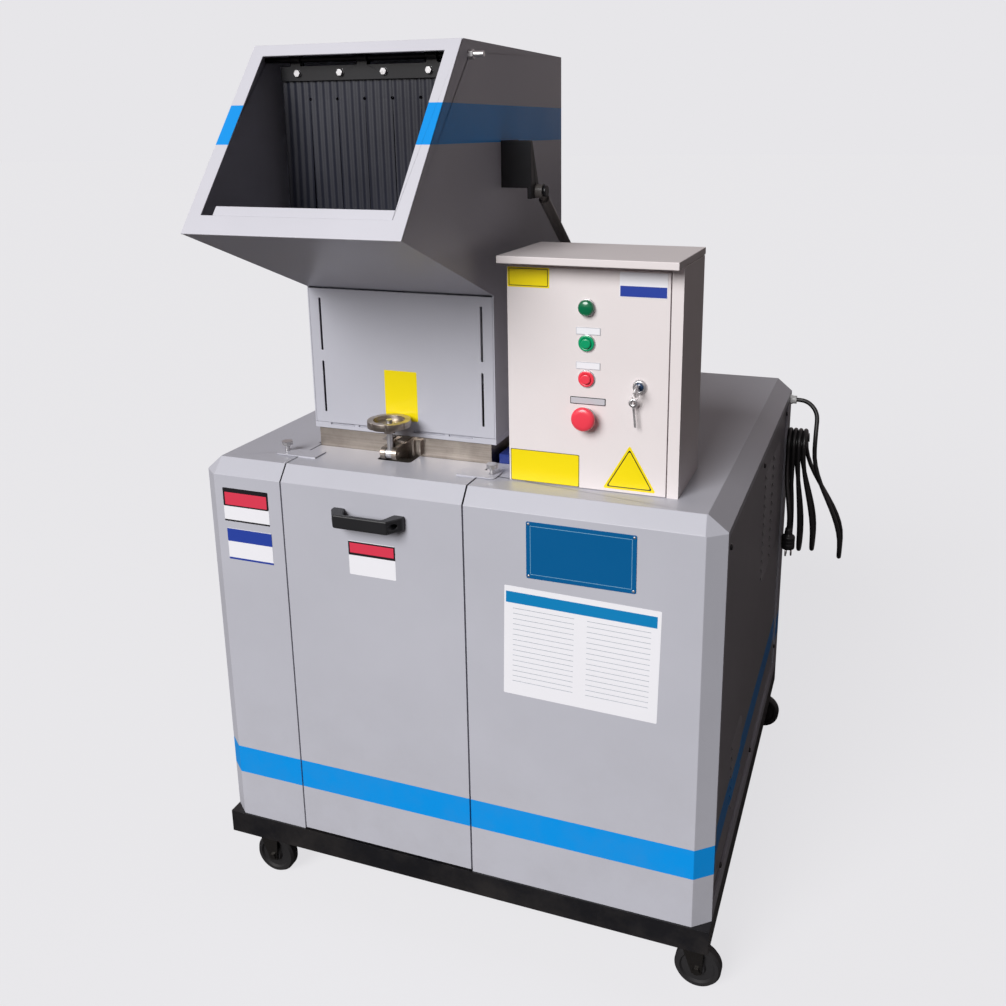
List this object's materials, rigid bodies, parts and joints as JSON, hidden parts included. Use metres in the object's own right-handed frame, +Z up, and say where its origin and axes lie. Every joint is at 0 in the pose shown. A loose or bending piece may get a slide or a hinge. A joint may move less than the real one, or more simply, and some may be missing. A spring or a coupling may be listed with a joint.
{
  "type": "plastic granulator",
  "caption": "Wheeled granulator with a slanted feed hopper over a bladed rotor chamber, a sheet-metal cabinet, a tilt-out door over a bin, and a control box.",
  "frame": {"origin": "on the floor under the middle of the machine without its supply lead", "axes": "+X to the right seen from the front, -Y towards the hopper mouth and the door, +Z up"},
  "size_m": [1.1915, 1.2216, 1.7373],
  "materials": {
    "panel_paint": "light blue-grey satin enamel",
    "mouth_paint": "light grey satin enamel",
    "side_paint": "grey satin enamel",
    "black_paint": "black satin enamel",
    "fork_steel": "dark zinc and grime",
    "machined_steel": "machined steel",
    "tool_steel": "ground tool steel",
    "sheet_steel": "galvanised sheet",
    "machine_blue": "blue machine enamel",
    "pulley_iron": "phosphated iron",
    "rubber": "black rubber",
    "plug_rubber": "moulded black rubber",
    "wheel_tyre": "black rubber tyre on a steel hub",
    "box_paint": "beige textured enamel",
    "plate_orange": "orange enamel",
    "bright_metal": "bright zinc",
    "strut_grey": "dark grey enamel",
    "gland_plastic": "light grey nylon",
    "lamp_green": "green lens in a chromed bezel",
    "button_green": "green moulded cap",
    "button_red": "red moulded cap",
    "stop_red": "red moulded mushroom head"
  },
  "bodies": {
    "cabinet": {"base_frame": "black_paint", "left_cover": "panel_paint", "right_cover": "panel_paint", "side_panels": "side_paint", "rear_panel": "side_paint", "chamber_stand": "black_paint", "chamber_side_plates": "machined_steel", "chamber_walls": "machined_steel", "bed_knives": "tool_steel", "screen": "machined_steel", "discharge_chute": "sheet_steel", "collection_bin": "sheet_steel", "bearing_plates": "machine_blue", "bearing_housings": "machine_blue", "motor": "machine_blue", "drive_belts": "rubber", "control_box": "box_paint", "control_box_roof": "box_paint", "mounting_plate": "plate_orange", "strut_foot": "black_paint", "cord_hook": "black_paint", "cord_gland": "gland_plastic", "cord_free": "rubber", "cord_hank": "rubber", "cord_plug": "plug_rubber", "caster_plates": "fork_steel"},
    "door": {"front_door": "panel_paint", "door_handle": "black_paint"},
    "thumbscrew_left": {"thumbscrew_left": "bright_metal"},
    "thumbscrew_right": {"thumbscrew_right": "bright_metal"},
    "rotor": {"rotor": "machined_steel", "rotor_knives": "tool_steel", "rotor_pulley": "pulley_iron"},
    "motor_shaft": {"motor_pulley": "pulley_iron"},
    "hopper": {"hopper_shell": "panel_paint", "neck_cover": "panel_paint", "hopper_flange": "panel_paint", "mouth_frame": "mouth_paint", "curtain_rod": "bright_metal", "strut_bracket": "black_paint"},
    "curtain": {"curtain_bars": "black_paint", "curtain_sheet": "rubber"},
    "strut_tube": {"strut_tube": "strut_grey"},
    "strut_rod": {"strut_rod": "bright_metal"},
    "box_door": {"control_box_door": "box_paint", "pilot_lamp": "lamp_green"},
    "green_button": {"green_button": "button_green"},
    "red_button": {"red_button": "button_red"},
    "stop_button": {"stop_button": "stop_red"},
    "box_lock": {"box_lock": "bright_metal"},
    "swing_bolt": {"swing_bolt": "bright_metal"},
    "handwheel": {"handwheel": "bright_metal"},
    "fork_front_left": {"fork_front_left": "fork_steel"},
    "wheel_front_left": {"wheel_front_left": "wheel_tyre"},
    "fork_front_right": {"fork_front_right": "fork_steel"},
    "wheel_front_right": {"wheel_front_right": "wheel_tyre"},
    "fork_rear_left": {"fork_rear_left": "fork_steel"},
    "wheel_rear_left": {"wheel_rear_left": "wheel_tyre"},
    "fork_rear_right": {"fork_rear_right": "fork_steel"},
    "wheel_rear_right": {"wheel_rear_right": "wheel_tyre"}
  },
  "joints": [
    {"name": "caster_swivel_front_left", "type": "hinge", "parent": "cabinet", "child": "fork_front_left", "pos_m": [-0.496, -0.355, 0.1], "axis": [0, 0, 1], "continuous": true},
    {"name": "wheel_roll_front_left", "type": "hinge", "parent": "fork_front_left", "child": "wheel_front_left", "pos_m": [-0.471, -0.355, 0.045], "axis": [0, 1, 0], "continuous": true},
    {"name": "caster_swivel_front_right", "type": "hinge", "parent": "cabinet", "child": "fork_front_right", "pos_m": [0.444, -0.355, 0.1], "axis": [0, 0, 1], "continuous": true},
    {"name": "wheel_roll_front_right", "type": "hinge", "parent": "fork_front_right", "child": "wheel_front_right", "pos_m": [0.469, -0.355, 0.045], "axis": [0, 1, 0], "continuous": true},
    {"name": "caster_swivel_rear_left", "type": "hinge", "parent": "cabinet", "child": "fork_rear_left", "pos_m": [-0.496, 0.558, 0.1], "axis": [0, 0, 1], "continuous": true},
    {"name": "wheel_roll_rear_left", "type": "hinge", "parent": "fork_rear_left", "child": "wheel_rear_left", "pos_m": [-0.471, 0.558, 0.045], "axis": [0, 1, 0], "continuous": true},
    {"name": "caster_swivel_rear_right", "type": "hinge", "parent": "cabinet", "child": "fork_rear_right", "pos_m": [0.444, 0.558, 0.1], "axis": [0, 0, 1], "continuous": true},
    {"name": "wheel_roll_rear_right", "type": "hinge", "parent": "fork_rear_right", "child": "wheel_rear_right", "pos_m": [0.469, 0.558, 0.045], "axis": [0, 1, 0], "continuous": true},
    {"name": "door_tilt", "type": "hinge", "parent": "cabinet", "child": "door", "pos_m": [-0.17, -0.394, 0.177], "axis": [1, 0, 0], "range_deg": [0, 75]},
    {"name": "thumbscrew_turn_left", "type": "hinge", "parent": "cabinet", "child": "thumbscrew_left", "pos_m": [-0.398, -0.314, 0.971], "axis": [0, 0, 1], "continuous": true},
    {"name": "thumbscrew_turn_right", "type": "hinge", "parent": "cabinet", "child": "thumbscrew_right", "pos_m": [0.044, -0.314, 0.971], "axis": [0, 0, 1], "continuous": true},
    {"name": "rotor_spin", "type": "hinge", "parent": "cabinet", "child": "rotor", "pos_m": [-0.17, -0.057, 0.805], "axis": [1, 0, 0], "continuous": true},
    {"name": "motor_spin", "type": "hinge", "parent": "cabinet", "child": "motor_shaft", "pos_m": [-0.17, 0.373, 0.315], "axis": [1, 0, 0], "continuous": true},
    {"name": "hopper_tilt", "type": "hinge", "parent": "cabinet", "child": "hopper", "pos_m": [-0.17, 0.154, 1.0093], "axis": [-1, 0, 0], "range_deg": [0, 40]},
    {"name": "curtain_swing", "type": "hinge", "parent": "hopper", "child": "curtain", "pos_m": [-0.17, -0.34, 1.7133], "axis": [1, 0, 0], "range_deg": [-10, 60]},
    {"name": "strut_pivot", "type": "hinge", "parent": "hopper", "child": "strut_tube", "pos_m": [0.094, -0.18, 1.4833], "axis": [1, 0, 0], "range_deg": [-0.5, 7.98]},
    {"name": "strut_slide", "type": "slide", "parent": "strut_tube", "child": "strut_rod", "axis": [0, 0.8035, -0.5954], "range_m": [-0.1505, 0.003]},
    {"name": "box_door_swing", "type": "hinge", "parent": "cabinet", "child": "box_door", "pos_m": [0.09, -0.319, 0.971], "axis": [0, 0, -1], "range_deg": [0, 95]},
    {"name": "green_button_press", "type": "slide", "parent": "box_door", "child": "green_button", "axis": [0, 1, 0], "range_m": [0, 0.004], "stiffness_N_per_m": 600, "springref_m": -0.002},
    {"name": "red_button_press", "type": "slide", "parent": "box_door", "child": "red_button", "axis": [0, 1, 0], "range_m": [0, 0.004], "stiffness_N_per_m": 600, "springref_m": -0.002},
    {"name": "stop_button_press", "type": "slide", "parent": "box_door", "child": "stop_button", "axis": [0, 1, 0], "range_m": [0, 0.006]},
    {"name": "lock_turn", "type": "hinge", "parent": "box_door", "child": "box_lock", "pos_m": [0.325, -0.327, 1.167], "axis": [0, 1, 0], "range_deg": [0, 90]},
    {"name": "swing_bolt_swing", "type": "hinge", "parent": "cabinet", "child": "swing_bolt", "pos_m": [-0.176, -0.297, 0.986], "axis": [1, 0, 0], "range_deg": [0, 60]},
    {"name": "handwheel_turn", "type": "hinge", "parent": "swing_bolt", "child": "handwheel", "pos_m": [-0.176, -0.297, 1.041], "axis": [0, 0, 1], "continuous": true}
  ],
  "couplings": [
    {"joint": "motor_spin", "follows": "rotor_spin", "ratio": 2},
    {"joint": "strut_pivot", "follows": "hopper_tilt", "ratio": 0.1869},
    {"joint": "strut_slide", "follows": "hopper_tilt", "m_per_rad": -0.21121}
  ]
}
